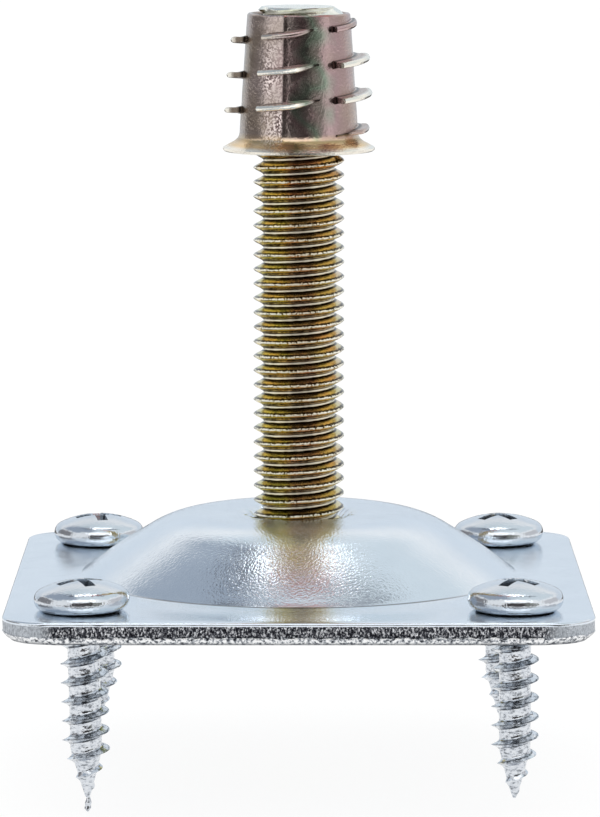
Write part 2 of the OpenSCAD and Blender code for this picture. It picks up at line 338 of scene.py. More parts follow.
class Shader:
    """A material's node tree, with short calls for adding and joining nodes."""

    def __init__(self, name):
        self.material = bpy.data.materials.new(name)
        self.material.use_nodes = True
        self.tree = self.material.node_tree
        self.surface = self.tree.nodes["Principled BSDF"]

    def feed(self, socket, value):
        """Gives a socket a value, or joins it to another node's output."""
        if isinstance(value, bpy.types.NodeSocket):
            self.tree.links.new(value, socket)
        else:
            socket.default_value = value

    def dress(self, **values):
        """Feeds the surface's inputs, named with underscores for spaces."""
        for name, value in values.items():
            self.feed(self.surface.inputs[name.replace("_", " ")], value)

    def add(self, kind, inputs=None, **settings):
        node = self.tree.nodes.new(kind)
        for name, value in settings.items():
            setattr(node, name, value)
        for name, value in (inputs or {}).items():
            self.feed(node.inputs[name], value)
        return node

    def show(self, source):
        """Uses a shader output as the whole surface."""
        self.tree.links.new(source, self.tree.nodes["Material Output"].inputs["Surface"])

    def math(self, operation, *values):
        return self.add("ShaderNodeMath", dict(enumerate(values)), operation=operation).outputs[0]

    def product(self, *factors):
        result = factors[0]
        for factor in factors[1:]:
            result = self.math("MULTIPLY", result, factor)
        return result

    def vector(self, operation, *values):
        node = self.add("ShaderNodeVectorMath", dict(enumerate(values)), operation=operation)
        return node.outputs["Value" if operation == "LENGTH" else "Vector"]

    def parts(self, vector):
        """A vector's outputs X, Y and Z."""
        return self.add("ShaderNodeSeparateXYZ", {"Vector": vector}).outputs

    def place(self):
        """The point on the piece, in millimetres."""
        return self.vector("MULTIPLY", self.add("ShaderNodeTexCoord").outputs["Object"], PER_METRE)

    def scattered(self, place):
        """The point shifted by where the piece stands, so that pieces of one form differ in pattern."""
        spot = self.add("ShaderNodeObjectInfo").outputs["Location"]
        return self.vector("MULTIPLY_ADD", spot, PER_METRE, place)

    def distance_from_axis(self, place):
        return self.vector("LENGTH", self.vector("MULTIPLY", place, (1.0, 1.0, 0.0)))

    def noise(self, place, per_mm, detail=2.0, roughness=0.5):
        inputs = {"Vector": place, "Scale": per_mm, "Detail": detail, "Roughness": roughness}
        return self.add("ShaderNodeTexNoise", inputs).outputs["Fac"]

    def ramp(self, factor, stops):
        """A colour ramp through stops, each a place and a screen colour."""
        node = self.add("ShaderNodeValToRGB", {"Fac": factor})
        elements = node.color_ramp.elements
        while len(elements) < len(stops):
            elements.new(0.5)
        for element, (place, *colour) in zip(elements, stops):
            element.position = place
            element.color = srgb(*colour)
        return node.outputs["Color"]

    def spread(self, factor, low, high, start=0.3, end=0.7):
        """Maps a factor from start..end onto low..high."""
        inputs = {"Value": factor, "From Min": start, "From Max": end, "To Min": low, "To Max": high}
        return self.add("ShaderNodeMapRange", inputs).outputs["Result"]

    def mix(self, factor, first, second, blend="MIX"):
        # In a colour mix, inputs 6 and 7 are the colours and output 2 is the result
        inputs = {0: factor, 6: first, 7: second}
        return self.add("ShaderNodeMix", inputs, data_type="RGBA", blend_type=blend).outputs[2]

    def darken(self, share, colour, shade):
        """A colour multiplied by a shade, as far as share says."""
        return self.mix(share, colour, shade, "MULTIPLY")

    def bump(self, height, depth_mm):
        return self.add("ShaderNodeBump", {"Height": height, "Distance": depth_mm * MM}).outputs["Normal"]


def bright_zinc(name, pale, deep, shine):
    """Blue-white zinc with a cloudy colour, from deep to pale, and an uneven shine."""
    shader = Shader(name)
    place = shader.place()
    cloud = shader.ramp(shader.noise(place, 0.16, detail=3.0), [(0.35, *deep), (0.65, *pale)])
    shader.dress(Roughness=shader.spread(shader.noise(place, 0.5, detail=4.0), *shine), Metallic=1.0)
    return shader, place, cloud


def plate_zinc():
    """Sheet zinc, with painted shade: a thin dark line in the crease at the front of the dome's foot."""
    shader, place, cloud = bright_zinc("plate_zinc", (228, 235, 242), (221, 229, 237), (0.15, 0.23))
    parts = shader.parts(place)
    reach = shader.distance_from_axis(place)
    # Painted shade: a dark line in the crease, on the sheet's upper face, towards the front
    gap = shader.math("ABSOLUTE", shader.math("SUBTRACT", reach, CREASE_RADIUS))
    crease_shade = shader.spread(gap, 0.85, 0.0, start=0.07, end=0.19)
    upper = shader.spread(parts["Z"], 0.0, 1.0, start=SHEET - 0.3, end=SHEET)
    front = shader.spread(parts["Y"], 1.0, 0.0, start=-15.0, end=-10.0)
    share = shader.product(crease_shade, upper, front)
    shader.dress(Base_Color=shader.mix(share, cloud, srgb(60, 64, 74)))
    # The drawn dome has a deeper grain than the flat sheet
    drawn = shader.spread(reach, 1.0, 0.15, start=CREASE_RADIUS - 1.0, end=CREASE_RADIUS)
    grain = shader.product(shader.noise(place, 4.6, detail=1.5), drawn)
    shader.dress(Normal=shader.bump(grain, 0.028))
    return shader.material


def screw_zinc():
    """Screw zinc: bright crests and roots on the thread, with thin dark lines of painted shade between
    them, and painted shade in the cross recess.
    """
    shader, place, cloud = bright_zinc("screw_zinc", (224, 230, 236), (206, 212, 219), (0.1, 0.18))
    shader.dress(Normal=shader.bump(shader.noise(place, 5.0, detail=1.0), 0.022))
    height = shader.parts(place)["Z"]
    reach = shader.distance_from_axis(place)
    spot = shader.scattered(place)
    ragged = shader.spread(shader.noise(spot, 3.0), -0.1, 0.1)
    share = shader.spread(reach, 0.0, 1.0, start=CORE_RADIUS, end=SCREW_RADIUS)
    # Painted shade: thin dark lines on the thread, by distance from the axis
    shade_lines = shader.ramp(
        shader.math("ADD", share, ragged),
        [
            (0.06, 240, 242, 246),
            (0.16, 70, 73, 78),
            (0.28, 250, 252, 255),
            (0.74, 250, 252, 255),
            (0.86, 84, 88, 94),
            (0.95, 255, 255, 255),
        ],
    )
    level = shader.vector("MULTIPLY", spot, (1.0, 1.0, 2.2))
    stain = shader.noise(level, 2.2, detail=3.0, roughness=0.65)
    patch = shader.ramp(stain, [(0.36, 90, 94, 100), (0.46, 236, 238, 242), (0.58, 255, 255, 255)])
    bright = shader.ramp(stain, [(0.3, 226, 229, 231), (0.7, 242, 244, 245)])
    threaded = shader.darken(0.7, shader.darken(1.0, bright, shade_lines), patch)
    below = shader.spread(height, 1.0, 0.0, start=-0.2, end=0.2)
    # Painted shade: the cross recess is darkened below the head's crown
    crown_drop = shader.math("DIVIDE", shader.product(reach, reach), 2.0 * PAN_CROWN)
    crown = shader.math("SUBTRACT", PAN_TOP, crown_drop)
    sunk = shader.spread(shader.math("SUBTRACT", crown, height), 0.0, 0.55, start=0.06, end=0.25)
    inner = shader.spread(reach, 1.0, 0.0, start=2.5, end=2.7)
    recess_shaded = shader.mix(shader.product(sunk, inner), cloud, srgb(56, 58, 64))
    shader.dress(Base_Color=shader.mix(below, recess_shaded, threaded))
    return shader.material


def torn_edge():
    """The plate's cut edge: a dark pitted band of torn steel, smoother round the corners and painted
    paler there as a painted reflection.
    """
    shader = Shader("torn_edge")
    place = shader.place()
    drawn = shader.vector("MULTIPLY", place, (1.0, 1.0, 0.6))
    pits = shader.noise(drawn, 6.5, detail=3.0, roughness=0.75)
    bare = shader.ramp(pits, [(0.42, 28, 28, 34), (0.53, 96, 98, 106), (0.6, 240, 242, 246)])
    parts = shader.parts(shader.vector("ABSOLUTE", place))
    nearest = shader.math("MINIMUM", parts["X"], parts["Y"])
    bend = PLATE_WIDTH / 2 - CORNER_RADIUS
    corner = shader.spread(nearest, 0.0, 1.0, start=bend - 0.4, end=bend + 0.8)
    # Painted reflection: a paler colour round the corners
    corner_reflection = shader.ramp(pits, [(0.35, 150, 156, 164), (0.6, 206, 212, 219)])
    shader.dress(Base_Color=shader.mix(corner, bare, corner_reflection))
    shader.dress(Roughness=shader.spread(pits, 0.45, 0.25))
    shader.dress(Normal=shader.bump(pits, 0.08), Metallic=1.0)
    return shader.material


def burred_lip():
    """The ragged lip under the torn band: bright zinc over a rough burr, darker at its foot."""
    shader = Shader("burred_lip")
    place = shader.place()
    rough = shader.noise(place, 3.4, detail=4.0, roughness=0.6)
    stops = [(0.37, 44, 46, 52), (0.46, 165, 170, 177), (0.54, 250, 251, 252)]
    foot = shader.spread(shader.parts(place)["Z"], 0.8, 0.0, start=0.06, end=0.3)
    shader.dress(Base_Color=shader.mix(foot, shader.ramp(rough, stops), srgb(92, 95, 101)))
    shader.dress(Roughness=shader.spread(rough, 0.42, 0.24))
    shader.dress(Normal=shader.bump(rough, 0.07), Metallic=1.0)
    return shader.material


def yellow_zinc_stud():
    """Yellow chromate on rolled thread: olive gold at the plate, copper higher up, and a pale cut end."""
    shader = Shader("yellow_zinc_stud")
    place = shader.place()
    parts = shader.parts(place)
    height = parts["Z"]
    # Colour along the stud and in patches; across it, painted shade and reflection, lighter at the sides
    # and darker and browner in the middle
    drift = shader.spread(height, 0.0, 1.0, start=DOME_TOP, end=STUD_END)
    along = shader.ramp(drift, [(0.0, 216, 212, 140), (0.45, 216, 200, 146), (0.8, 212, 176, 146)])
    patch = shader.noise(place, 0.5, detail=3.0)
    stops = [(0.38, 188, 198, 136), (0.5, 218, 202, 146), (0.64, 212, 160, 140)]
    drifting = shader.mix(0.65, along, shader.ramp(patch, stops))
    across = shader.spread(parts["X"], 0.0, 1.0, start=-STUD_RADIUS, end=STUD_RADIUS)
    shade_across_stud = shader.ramp(
        across,
        [
            (0.0, 228, 226, 168),
            (0.34, 240, 232, 172),
            (0.42, 224, 196, 166),
            (0.62, 222, 194, 162),
            (0.76, 230, 212, 172),
            (1.0, 230, 218, 182),
        ],
    )
    shank = shader.mix(0.55, drifting, shade_across_stud)
    # Painted shade: dark lines on the thread's flanks, by height from root to crest
    axis_distance = shader.distance_from_axis(place)
    reach = shader.spread(axis_distance, 0.0, 1.0, start=STUD_ROOT_RADIUS, end=STUD_RADIUS)
    frayed = shader.math("ADD", reach, shader.spread(shader.noise(place, 6.0), -0.1, 0.08))
    fine = shader.spread(shader.noise(place, 2.0, detail=1.0), -0.02, 0.02)
    even = shader.math("ADD", reach, fine)
    stops = [(0.64, 255, 252, 248), (0.78, 64, 54, 46), (0.9, 44, 37, 32), (0.96, 255, 252, 246)]
    upper = shader.ramp(frayed, stops)
    stops = [(0.05, 255, 252, 244), (0.09, 30, 25, 20), (0.2, 60, 52, 44), (0.32, 255, 252, 248)]
    lower = shader.ramp(even, stops)
    threaded = shader.spread(height, 0.0, 1.0, start=DOME_CEILING - 0.05, end=DOME_CEILING + 0.05)
    # The crest's dark line is weaker on flanks that face down, which get a painted reflection instead:
    # gold at the stud's sides and grey in its middle
    facing = shader.add("ShaderNodeNewGeometry").outputs["True Normal"]
    over = shader.spread(shader.parts(facing)["Z"], 0.1, 1.0, start=-0.6, end=-0.2)
    under = shader.spread(over, 1.0, 0.0, start=0.1, end=1.0)
    stops = [(0.3, 255, 242, 194), (0.46, 198, 188, 182), (0.64, 198, 188, 182), (0.78, 252, 240, 208)]
    flank_reflection = shader.ramp(across, stops)
    flanks = shader.darken(under, shader.darken(over, shank, upper), flank_reflection)
    lined = shader.mix(threaded, shank, shader.darken(1.0, flanks, lower))
    # Painted highlight: bright, less metallic lines on the crests and roots
    crest_highlight = shader.spread(frayed, 0.0, 0.85, start=0.92, end=0.97)
    root_highlight = shader.spread(even, 0.85, 0.0, start=0.03, end=0.07)
    highlight_share = shader.product(shader.math("MAXIMUM", crest_highlight, root_highlight), threaded)
    highlighted = shader.mix(highlight_share, lined, srgb(255, 252, 240))
    shader.dress(Metallic=shader.spread(highlight_share, 1.0, 0.45, start=0.0, end=0.85))
    end_cut = shader.ramp(patch, [(0.4, 228, 230, 218), (0.6, 244, 245, 236)])
    cut_start = STUD_END - STUD_CHAMFER
    cut_share = shader.spread(height, 0.0, 1.0, start=cut_start - 0.1, end=cut_start + 0.1)
    shader.dress(Base_Color=shader.mix(cut_share, highlighted, end_cut))
    shader.dress(Roughness=shader.spread(shader.noise(place, 1.6, detail=3.0), 0.12, 0.24))
    shader.dress(Normal=shader.bump(shader.noise(place, 4.5), 0.014))
    return shader.material


def yellow_zinc_casting():
    """Iridescent chromate on cast zinc: brown, mauve, green and pink across it, with a gold flange."""
    shader = Shader("yellow_zinc_casting")
    place = shader.place()
    parts = shader.parts(place)
    wander = shader.spread(shader.noise(place, 0.3, detail=1.0), -1.6, 1.6)
    across = shader.math("ADD", parts["X"], wander)
    share = shader.spread(across, 0.0, 1.0, start=-BODY_RADIUS, end=BODY_RADIUS)
    bands = shader.ramp(
        share,
        [
            (0.0, 160, 146, 132),
            (0.28, 186, 172, 166),
            (0.45, 180, 157, 155),
            (0.62, 150, 164, 148),
            (0.76, 190, 164, 164),
            (1.0, 184, 164, 152),
        ],
    )
    low = shader.spread(parts["Z"], 1.0, 0.0, start=INSERT_BASE + 0.4, end=INSERT_BASE + 1.7)
    # Painted shade: dark lines where a blade leaves the tapered body. Painted highlight: pale blade edges
    reach = shader.distance_from_axis(place)
    taper_start = INSERT_BASE + FLANGE_HEIGHT
    taper_end = INSERT_BASE + INSERT_LENGTH
    taper = shader.spread(parts["Z"], BODY_RADIUS, RIM_RADIUS, start=taper_start, end=taper_end)
    proud = shader.spread(shader.math("SUBTRACT", reach, taper), 0.0, 1.0, start=0.0, end=BLADE_HEIGHT)
    stops = [(0.05, 255, 255, 255), (0.1, 66, 60, 56), (0.18, 96, 88, 82), (0.3, 255, 255, 255)]
    foot_shaded = shader.darken(1.0, bands, shader.ramp(proud, stops))
    rim = shader.spread(reach, 0.0, 0.85, start=5.9, end=6.3)
    gold = shader.mix(rim, srgb(250, 216, 160), srgb(250, 248, 240))
    # Painted highlight: bright sparkle on the front, left of the parting line, in patches
    stops = [(0.44, 98, 78, 78), (0.56, 255, 240, 236)]
    sparkle_dots = shader.ramp(shader.noise(place, 5.5, detail=1.0), stops)
    rising = shader.spread(parts["X"], 0.0, 1.0, start=-3.6, end=-2.6)
    falling = shader.spread(parts["X"], 1.0, 0.0, start=-1.5, end=-1.3)
    patchy = shader.spread(shader.noise(place, 0.45), 0.2, 0.9, start=0.4, end=0.6)
    front = shader.spread(parts["Y"], 1.0, 0.0, start=-1.0, end=0.0)
    fading = shader.spread(parts["Z"], 1.0, 0.25, start=INSERT_BASE + 8.2, end=INSERT_BASE + 9.4)
    sparkle_band = shader.product(rising, falling, fading, patchy, front)
    sparkled = shader.mix(sparkle_band, foot_shaded, sparkle_dots)
    # Painted highlight: pale edges along the blades' crests
    edge = shader.spread(proud, 0.0, 0.9, start=0.6, end=0.85)
    edge_highlighted = shader.mix(edge, sparkled, srgb(250, 246, 234))
    # The blades' blunt ends on the left are bare and pale
    leftward = shader.spread(parts["X"], 1.0, 0.0, start=-BODY_RADIUS + 0.3, end=-BODY_RADIUS + 0.7)
    standing = shader.spread(proud, 0.0, 0.65, start=0.06, end=0.14)
    shader.dress(Metallic=shader.math("SUBTRACT", 1.0, shader.product(leftward, standing)))
    shader.dress(Base_Color=shader.mix(low, edge_highlighted, gold))
    shader.dress(Roughness=shader.spread(shader.noise(place, 0.9, detail=4.0), 0.14, 0.3))
    shader.dress(Normal=shader.bump(shader.noise(place, 3.8, detail=3.0), 0.03))
    return shader.material


# Base plate


def dome_section(depth, foot_radius, foot_height, bend, bulge=0.0):
    """Points (radius, height) from the dome's flat top to its foot, on the surface at the given depth.

    A straight slope touches two arcs: the shoulder under the flat, and the hollow bend at the foot.
    """
    shoulder = SHOULDER_RADIUS - depth
    top = DOME_TOP - depth
    run = foot_radius - DOME_FLAT_RADIUS
    drop = shoulder + bend - (top - foot_height)
    slope = math.asin((shoulder + bend) / math.hypot(run, drop)) - math.atan2(drop, run)
    points = []
    shoulder_steps = 14
    for i in range(shoulder_steps + 1):
        angle = slope * i / shoulder_steps
        radius = DOME_FLAT_RADIUS + shoulder * math.sin(angle)
        points.append((radius, top - shoulder * (1.0 - math.cos(angle))))
    start_radius, start_height = points[-1]
    end_radius = foot_radius - bend * math.sin(slope)
    end_height = foot_height + bend * (1.0 - math.cos(slope))
    slope_steps = 10
    for i in range(1, slope_steps):
        share = i / slope_steps
        swell = 4.0 * bulge * share * (1.0 - share)
        radius = start_radius + (end_radius - start_radius) * share + swell * math.sin(slope)
        height = start_height + (end_height - start_height) * share + swell * math.cos(slope)
        points.append((radius, height))
    bend_steps = 5
    for i in range(bend_steps + 1):
        angle = slope * (1.0 - i / bend_steps)
        radius = foot_radius - bend * math.sin(angle)
        points.append((radius, foot_height + bend * (1.0 - math.cos(angle))))
    return points


def plate_outline():
    """Points round the plate's edge with their outward directions, as (place, outward) pairs."""
    side_steps = 200
    corner_steps = 32
    reach = PLATE_WIDTH / 2 - CORNER_RADIUS
    outline = []
    for quarter in range(4):
        turn = 90.0 * quarter
        corner = Matrix.Rotation(math.radians(turn), 3, "Z") @ Vector((reach, reach, 0.0))
        for i in range(corner_steps):
            outward = polar(1.0, turn + 90.0 * i / corner_steps, 0.0)
            outline.append((corner + CORNER_RADIUS * outward, outward))
        outward = polar(1.0, turn + 90.0, 0.0)
        along = polar(1.0, turn + 180.0, 0.0)
        side_start = corner + CORNER_RADIUS * outward
        for i in range(side_steps):
            outline.append((side_start + along * (2.0 * reach * i / side_steps), outward))
    return outline


def corner_share(place):
    """0 along the plate's straight sides, 1 round its corners, where the cut is smoother."""
    side_end = PLATE_WIDTH / 2 - CORNER_RADIUS
    return smooth_step(min(abs(place.x), abs(place.y)), side_end - CORNER_BLEND, side_end + CORNER_BLEND)


def tear_height(place):
    """Height at which the torn wall ends and the lip starts."""
    return TEAR_HEIGHT + 0.16 * noise.noise(place * 0.9) + 0.12 * noise.noise(place * 2.6)


def flare(radius):
    """How far the flange stands above the flat sheet at a radius."""
    return FLARE_RISE * (1.0 - smooth_step(radius, FLARE_START, FLARE_END))


def wall_point(place, outward, inset, height):
    """A point on the plate's edge, set in from its outline."""
    return place - outward * inset + Vector((0, 0, height))


def edge_rings(outline):
    """Rings down the plate's edge: rolled top, torn wall and ragged lip, as (ring, material) pairs."""
    rings = []
    round_steps = 5
    for i in range(round_steps + 1):
        angle = math.radians(90.0 * i / round_steps)
        inset = TOP_EDGE_ROUND * (1.0 - math.sin(angle))
        height = SHEET - TOP_EDGE_ROUND * (1.0 - math.cos(angle))
        rings.append(([wall_point(*spot, inset, height) for spot in outline], PLATED))
    wall_top = SHEET - TOP_EDGE_ROUND
    wall_rows = 9
    for row in range(1, wall_rows + 1):
        share = row / wall_rows
        ring = []
        for place, outward in outline:
            height = wall_top + (tear_height(place) - wall_top) * share
            rough = (1.0 - 0.8 * corner_share(place)) * min(share * 3.0, 1.0)
            pit = noise.noise(Vector((place.x * 2.4, place.y * 2.4, height * 1.6)))
            inset = max(TEAR_DEPTH * rough * (1.0 + 1.1 * pit), 0.0)
            ring.append(wall_point(place, outward, inset, height))
        rings.append((ring, TORN))
    # Each ring's share of the way down the lip, and how far in it stands
    for drop, inset in ((0.12, -0.05), (0.34, -0.02), (0.62, 0.05), (0.85, 0.16), (1.0, LIP_INSET)):
        ring = []
        for place, outward in outline:
            rounded = corner_share(place)
            tear = tear_height(place)
            ragged = (1.0 - rounded) * (0.5 + 0.5 * noise.noise(place * 1.9 + Vector((0, 0, 7)))) * 0.2
            height = tear + (ragged + 0.3 * rounded - tear) * drop if drop < 1.0 else 0.0
            pit = noise.noise(Vector((place.x * 3.1, place.y * 3.1, drop * 4.0)))
            depth = max(inset + 0.05 * (1.0 - rounded) * pit + 0.25 * rounded * drop, 0.0)
            ring.append(wall_point(place, outward, depth, height))
        rings.append((ring, BURRED))
    return rings


def make_base_plate(zinc, torn, lip):
    outline = plate_outline()
    directions = [place.normalized() for place, outward in outline]
    mesh = bmesh.new()

    def circle(radius, height):
        return [Vector((way.x * radius, way.y * radius, height)) for way in directions]

    def crater(radius, height, depth):
        """A ring near the stud, wrinkled where the sheet was drawn round it."""
        ring = []
        for way in directions:
            wrinkle = noise.noise(Vector((way.x * 14.0, way.y * 14.0, radius))) + 0.3
            ring.append(Vector((way.x * radius, way.y * radius, height - depth * max(wrinkle, 0.0))))
        return ring

    def flange(inner_radius, share, top_side):
        """A ring part of the way from the dome's foot to the plate's edge."""
        ring = []
        for (place, outward), way in zip(outline, directions):
            edge = place - outward * (TOP_EDGE_ROUND if top_side else LIP_INSET)
            point = (way * inner_radius).lerp(edge, share)
            height = SHEET + flare(point.length) if top_side else 0.0
            ring.append(Vector((point.x, point.y, height)))
        return ring

    rings = [
        circle(STUD_HOLE_RADIUS, DOME_CEILING),
        circle(STUD_HOLE_RADIUS, DOME_TOP - COUNTERSINK),
        crater(STUD_HOLE_RADIUS + COUNTERSINK * 0.6, DOME_TOP - COUNTERSINK * 0.3, 0.1),
        crater(HOLE_RIM, DOME_TOP, 0.16),
        crater(HOLE_RIM + 0.35, DOME_TOP, 0.06),
        crater(HOLE_RIM + WRINKLE_REACH, DOME_TOP, 0.02),
        circle((HOLE_RIM + WRINKLE_REACH + DOME_FLAT_RADIUS) / 2, DOME_TOP),
    ]
    upper = dome_section(0.0, CREASE_RADIUS, SHEET + flare(CREASE_RADIUS), CREASE_BEND, SLOPE_BULGE)
    rings += [circle(*point) for point in upper]
    rings += [flange(CREASE_RADIUS, share, True) for share in (0.08, 0.2, 0.32, 0.45, 0.6, 0.8)]
    slots = [PLATED] * len(rings)
    for ring, slot in edge_rings(outline):
        rings.append(ring)
        slots.append(slot)
    hollow = dome_section(SHEET, HOLLOW_FOOT_RADIUS, 0.0, HOLLOW_BEND)
    rings += [flange(HOLLOW_FOOT_RADIUS, share, False) for share in (0.75, 0.4)]
    rings += [circle(*point) for point in reversed(hollow)]
    slots += [PLATED] * (len(rings) - len(slots))
    rows = add_skin(mesh, rings, loop=True)
    slot_of = {vert: slot for row, slot in zip(rows, slots) for vert in row}
    for face in mesh.faces:
        face.material_index = min(slot_of[vert] for vert in face.verts)
    close_mesh(mesh)
    plate = to_object(mesh, "domed_plate", [zinc, torn, lip])
    drills = []
    drill_steps = 64
    drill_wall = [(SCREW_HOLE_RADIUS, -1.0), (SCREW_HOLE_RADIUS, SHEET + 1.0)]
    for x, y in SCREW_PLACES:
        drill = bmesh.new()
        add_skin(drill, revolve(drill_wall, drill_steps))
        close_mesh(drill)
        bmesh.ops.translate(drill, verts=drill.verts, vec=Vector((x, y, 0.0)) * MM)
        drills.append(to_object(drill, "drill", [zinc]))
    cut(plate, drills)
    sharpen(plate)
    carry(plate, "plate", "base_plate")


# Stud

# Where the root starts in a pitch, and how much of the pitch each flank takes
ROOT_PHASE = 0.48
FLANK_SPAN = 0.455
STUD_PHASES = whole_pitch([0.0, 0.025, 0.04, 0.07, 0.14, 0.22, 0.3, 0.38, 0.43, ROOT_PHASE])


def stud_profile(phase):
    """Height of the rolled thread at a place in its pitch, from 0 at the root to 1 at the crest."""
    away = min(phase, 1.0 - phase)
    flank = clamped((ROOT_PHASE - away) / FLANK_SPAN)
    return flank - 0.05 * math.sin(2.0 * math.pi * flank)


def make_stud(metal):
    mesh = bmesh.new()
    steps = 88
    seat = DOME_CEILING

    def radius_at(height, phase, angle):
        run_out = smooth_step(height, seat + 0.1, seat + 1.0)
        worn = 0.02 * noise.noise(polar(2.0, angle, height * 1.3))
        depth = STUD_RADIUS - STUD_ROOT_RADIUS - abs(worn)
        thread = STUD_ROOT_RADIUS + depth * stud_profile(phase) * run_out
        chamfer = STUD_RADIUS - STUD_CHAMFER + (STUD_END - height)
        return min(thread, chamfer)

    add_helix_skin(mesh, STUD_PITCH, seat, STUD_END, STUD_CREST_HEIGHT, steps, STUD_PHASES, radius_at)
    close_mesh(mesh)
    # Hexagonal head with its outer corners turned off, inside the dome's hollow
    head = bmesh.new()
    steps = 96
    top = seat - BEARING_HEIGHT
    turned = HEAD_FLATS / 2 - HEAD_TURNING
    rings = revolve([(turned, HEAD_BOTTOM)], steps)
    for raised in (True, False):
        ring = []
        for angle in turns(steps):
            reach = hexagon(HEAD_FLATS, angle)
            rise = (reach - turned) * math.tan(math.radians(30.0))
            ring.append(polar(reach, angle, HEAD_BOTTOM + rise if raised else top))
        rings.append(ring)
    bearing = [(BEARING_RADIUS, top), (BEARING_RADIUS, seat), (STUD_ROOT_RADIUS - 0.1, seat)]
    rings += revolve(bearing, steps)
    add_skin(head, rings)
    close_mesh(head)
    head_data = bpy.data.meshes.new("head")
    head.to_mesh(head_data)
    head.free()
    mesh.from_mesh(head_data)
    bpy.data.meshes.remove(head_data)
    stud = to_object(mesh, "threaded_stud", [metal], sharp_angle=30.0)
    carry(stud, "plate", "stud_bolt")


# Insert nut


def body_radius(height):
    """Radius of the insert's tapered body at a height above its lower face."""
    share = (height - FLANGE_HEIGHT) / (INSERT_LENGTH - FLANGE_HEIGHT)
    return BODY_RADIUS + (RIM_RADIUS - BODY_RADIUS) * clamped(share)


def crest_radius(height):
    """Radius of the thread's crests: parallel to the body, then drawn in towards the rim."""
    lead_start = INSERT_LENGTH - LEAD_IN
    full = body_radius(min(height, lead_start)) + BLADE_HEIGHT
    return full + (RIM_RADIUS + 0.1 - full) * clamped((height - lead_start) / LEAD_IN)


def blade_half_width(share):
    """Half a blade's thickness at a share of its height.

    It is wide at the root and narrow at the neck, with a bead at the crest.
    """
    bead_middle = 0.82
    neck = BLADE_NECK / 2
    foot = (BLADE_ROOT / 2 - neck) * max(1.0 - share / 0.6, 0.0) ** 1.5
    bead = (BLADE_CREST / 2 - neck) * smooth_step(share, 0.55, bead_middle)
    past = max(share - bead_middle, 0.0) / (1.0 - bead_middle)
    return (neck + foot + bead) * math.sqrt(max(1.0 - past**2, 0.0))


def add_blade(mesh, index):
    """One blade of the interrupted thread, blunt at its start and, front and back, drawn to a point."""
    middle = FIRST_BLADE_TURN + index * 360.0 / BLADES_PER_TURN
    base = FIRST_BLADE_HEIGHT + index * BLADE_PITCH / BLADES_PER_TURN
    pointed = index % 2 == 1
    first, last = FRONT_BLADE if pointed else SIDE_BLADE
    steps = 30
    shares = (0.0, 0.15, 0.3, 0.45, 0.6, 0.75, 0.86, 0.95)
    rings = []
    for i in range(steps + 1):
        along = i / steps
        turn = first + (last - first) * along
        height = base + BLADE_PITCH * turn / 360.0
        grown = smooth_step(1.0 - along, -0.04, 0.5) if pointed else smooth_step(1.0 - along, -0.1, 0.04)
        if index == 0:
            grown *= 0.7 * smooth_step(along, 0.05, 0.5)
        grown = max(grown, 0.1)
        rise = BLADE_LIFT * smooth_step(along, 0.45, 1.0) if pointed else 0.0
        body = body_radius(height)
        inner = body - BLADE_SUNK
        outer = body + max((crest_radius(height) - body) * grown, 0.06)
        wave = 0.03 * noise.noise(polar(3.0, middle + turn, height))
        scale = 0.35 + 0.65 * grown
        halves = [blade_half_width(share) * scale * (1.0 + 2.0 * wave) for share in shares]
        section = [(inner + (outer - inner) * share, -half) for share, half in zip(shares, halves)]
        section.append((outer, 0.0))
        section += [(radius, -lift) for radius, lift in reversed(section[:-1])]
        level = INSERT_BASE + height + rise
        rings.append([polar(radius, middle + turn, level + lift) for radius, lift in section])
    rows = add_skin(mesh, rings)
    mesh.faces.new(rows[0])
    mesh.faces.new(rows[-1])


def make_insert(metal):
    steps = 180
    mesh = bmesh.new()
    rim_round = 0.12
    # The flange's first four points stay round, and the wall above them shows the mould
    edge_points = 4
    outside = [
        (FLANGE_RADIUS - 0.12, 0.0),
        (FLANGE_RADIUS, 0.1),
        (FLANGE_RADIUS, FLANGE_EDGE - 0.08),
        (FLANGE_RADIUS - 0.1, FLANGE_EDGE),
        (BODY_RADIUS + 0.45, FLANGE_HEIGHT - 0.35),
        (BODY_RADIUS + 0.16, FLANGE_HEIGHT - 0.1),
        (BODY_RADIUS + 0.03, FLANGE_HEIGHT + 0.15),
    ]
    rows = 22
    wall_start = FLANGE_HEIGHT + 0.4
    for i in range(rows + 1):
        height = wall_start + (INSERT_LENGTH - wall_start - rim_round) * i / rows
        outside.append((body_radius(height), height))
    inside = [
        (RIM_RADIUS - rim_round, INSERT_LENGTH),
        (BORE_RADIUS + 0.06, INSERT_LENGTH),
        (BORE_RADIUS, INSERT_LENGTH - 0.1),
        (BORE_RADIUS, SOCKET_DEPTH),
    ]
    rings = []
    for number, (radius, height) in enumerate(outside + inside):
        ring = []
        for angle in turns(steps):
            moulded = 0.0
            if edge_points <= number < len(outside):
                away = (angle - SEAM_TURN + 180.0) % 360.0 - 180.0
                ridge = SEAM_HEIGHT * max(1.0 - abs(away) / SEAM_SPREAD, 0.0)
                sunk = 0.03 * smooth_step(-away, 0.0, 2.0) * smooth_step(away, -60.0, -20.0)
                moulded = ridge - sunk + 0.02 * noise.noise(polar(2.6, angle, height * 0.8))
            ring.append(polar(radius + moulded, angle, INSERT_BASE + height))
        rings.append(ring)
    for height in (SOCKET_DEPTH, 0.0):
        level = INSERT_BASE + height
        rings.append([polar(hexagon(SOCKET_FLATS, angle), angle, level) for angle in turns(steps)])
    add_skin(mesh, rings, loop=True)
    close_mesh(mesh)
    insert = to_object(mesh, "insert_nut", [metal])
    blades = bmesh.new()
    for index in range(BLADE_COUNT):
        add_blade(blades, index)
    close_mesh(blades)
    cut(insert, [to_object(blades, "blades", [metal])], operation="UNION")
    sharpen(insert, 40.0)
    carry(insert, "insert", "threaded_insert")


